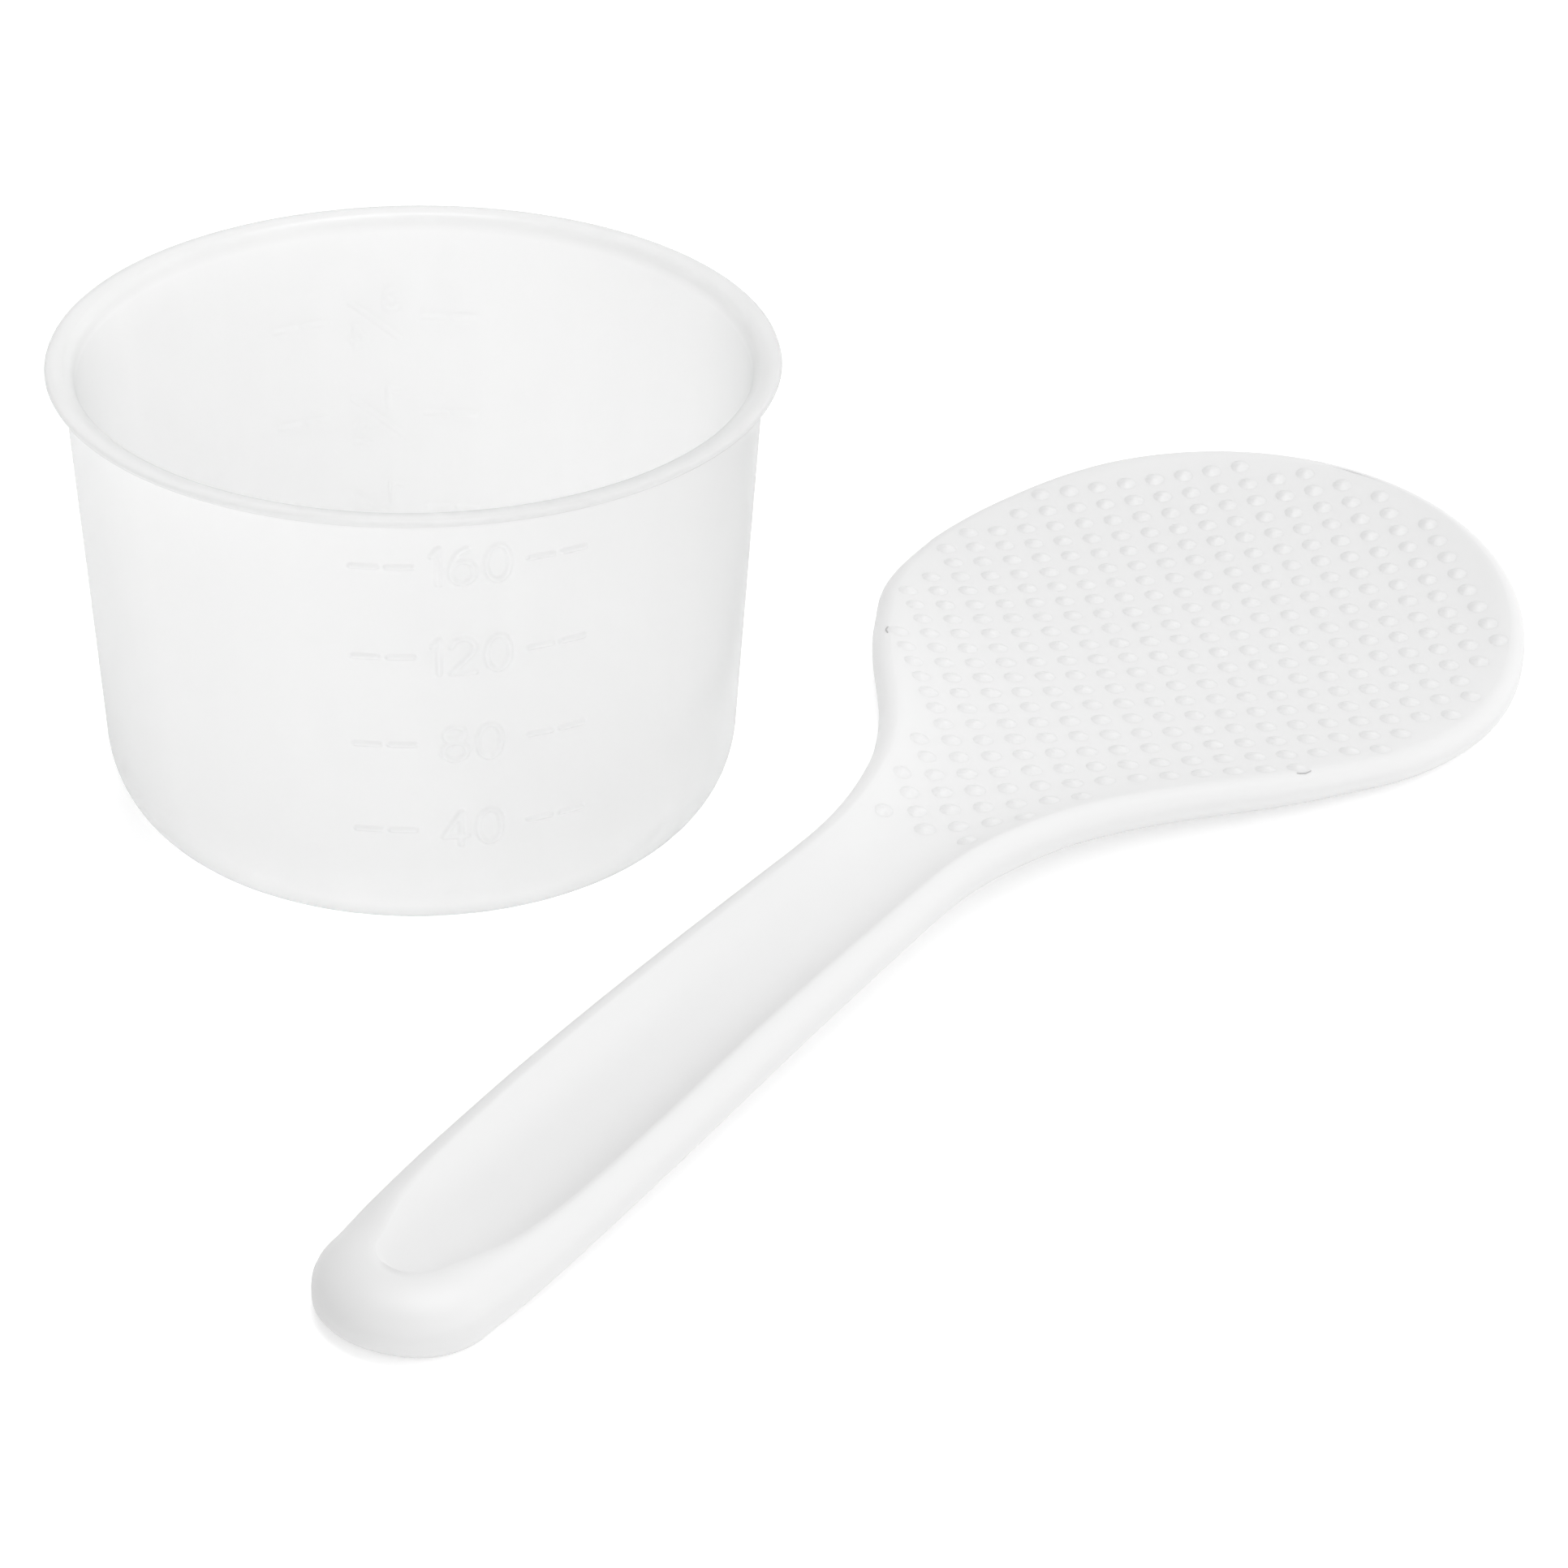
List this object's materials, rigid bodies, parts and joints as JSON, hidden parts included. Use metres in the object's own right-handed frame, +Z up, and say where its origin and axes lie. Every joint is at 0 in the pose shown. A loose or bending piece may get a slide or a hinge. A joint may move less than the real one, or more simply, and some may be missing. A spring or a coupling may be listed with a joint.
{
  "type": "rice measuring cup and paddle set",
  "caption": "Translucent measuring cup with a turned-out lip and a moulded scale, and a dished rice paddle with a dimpled blade, side by side on a table.",
  "frame": {"origin": "centre of the cup's flat foot, on the table", "axes": "+Z up along the cup's axis, -Y towards the reader of the millilitre scale, +X to the reader's right, where the paddle lies"},
  "size_m": [0.1678, 0.1788, 0.0522],
  "materials": {
    "cup_pp": "translucent natural polypropylene, satin",
    "paddle_pp": "opaque white polypropylene, satin"
  },
  "bodies": {
    "cup": {"measuring_cup": "cup_pp"},
    "paddle": {"rice_paddle": "paddle_pp"}
  },
  "joints": [
    {"name": "paddle_lift", "type": "slide", "parent": "cup", "child": "paddle", "axis": [0, 0, 1], "range_m": [0, 0.1]}
  ]
}
